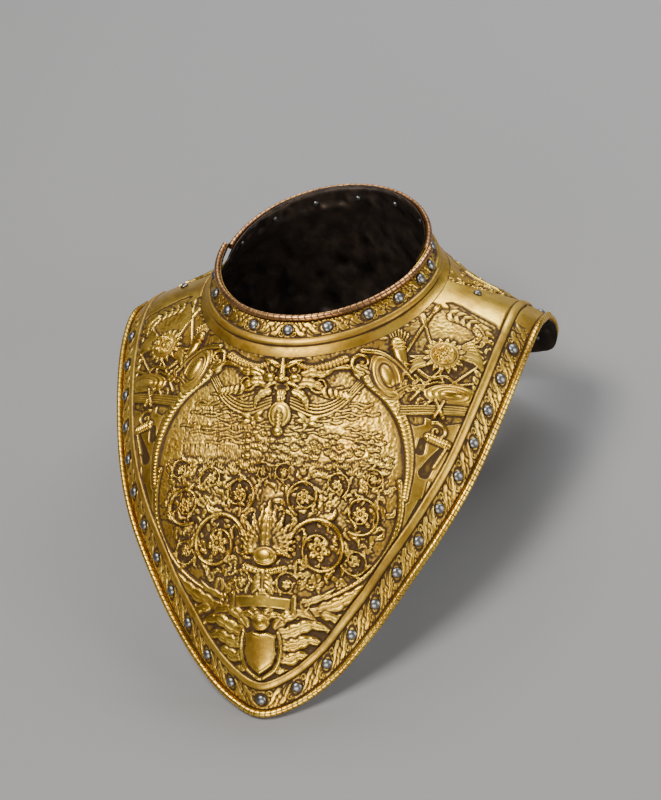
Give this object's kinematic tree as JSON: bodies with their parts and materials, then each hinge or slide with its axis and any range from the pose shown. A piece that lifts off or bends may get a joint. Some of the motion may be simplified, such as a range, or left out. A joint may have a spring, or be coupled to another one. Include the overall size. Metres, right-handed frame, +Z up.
{
  "type": "embossed steel gorget",
  "caption": "Gilt embossed gorget: pointed front plate lapped over a short back plate, collar, roped rims, leaf borders with steel rivets.",
  "frame": {"origin": "middle of the bounding box's bottom, on the surface the gorget rests on", "axes": "+X to the wearer's left, -Y ahead to the front plate's point, +Z up from the surface"},
  "size_m": [0.315, 0.3868, 0.1664],
  "materials": {
    "gilt": "gilt embossed sheet with dark recesses, worn bright on raised forms",
    "gilt_back": "gilt embossed sheet, duller, with dark recesses",
    "steel_rivet": "polished dark domed heads in a dark ring",
    "steel_stud": "small polished dome"
  },
  "bodies": {
    "root": {"front_plate": "gilt", "back_plate": "gilt_back", "front_neck_rivet_middle": "steel_rivet", "front_neck_rivet_left_01": "steel_rivet", "front_neck_rivet_left_02": "steel_rivet", "front_neck_rivet_left_03": "steel_rivet", "front_neck_rivet_left_04": "steel_rivet", "front_neck_rivet_left_05": "steel_rivet", "front_neck_rivet_right_01": "steel_rivet", "front_neck_rivet_right_02": "steel_rivet", "front_neck_rivet_right_03": "steel_rivet", "front_neck_rivet_right_04": "steel_rivet", "front_neck_rivet_right_05": "steel_rivet", "front_border_rivet_middle": "steel_rivet", "front_border_rivet_left_01": "steel_rivet", "front_border_rivet_left_02": "steel_rivet", "front_border_rivet_left_03": "steel_rivet", "front_border_rivet_left_04": "steel_rivet", "front_border_rivet_left_05": "steel_rivet", "front_border_rivet_left_06": "steel_rivet", "front_border_rivet_left_07": "steel_rivet", "front_border_rivet_left_08": "steel_rivet", "front_border_rivet_left_09": "steel_rivet", "front_border_rivet_left_10": "steel_rivet", "front_border_rivet_left_11": "steel_rivet", "front_border_rivet_left_12": "steel_rivet", "front_border_rivet_right_01": "steel_rivet", "front_border_rivet_right_02": "steel_rivet", "front_border_rivet_right_03": "steel_rivet", "front_border_rivet_right_04": "steel_rivet", "front_border_rivet_right_05": "steel_rivet", "front_border_rivet_right_06": "steel_rivet", "front_border_rivet_right_07": "steel_rivet", "front_border_rivet_right_08": "steel_rivet", "front_border_rivet_right_09": "steel_rivet", "front_border_rivet_right_10": "steel_rivet", "front_border_rivet_right_11": "steel_rivet", "front_border_rivet_right_12": "steel_rivet", "back_neck_rivet_middle": "steel_rivet", "back_neck_rivet_left_01": "steel_rivet", "back_neck_rivet_left_02": "steel_rivet", "back_neck_rivet_left_03": "steel_rivet", "back_neck_rivet_right_01": "steel_rivet", "back_neck_rivet_right_02": "steel_rivet", "back_neck_rivet_right_03": "steel_rivet", "back_border_rivet_left_01": "steel_rivet", "back_border_rivet_left_02": "steel_rivet", "back_border_rivet_left_03": "steel_rivet", "back_border_rivet_left_04": "steel_rivet", "back_border_rivet_left_05": "steel_rivet", "back_border_rivet_left_06": "steel_rivet", "back_border_rivet_right_01": "steel_rivet", "back_border_rivet_right_02": "steel_rivet", "back_border_rivet_right_03": "steel_rivet", "back_border_rivet_right_04": "steel_rivet", "back_border_rivet_right_05": "steel_rivet", "back_border_rivet_right_06": "steel_rivet", "left_stud": "steel_stud", "right_stud": "steel_stud"}
  },
  "joints": []
}
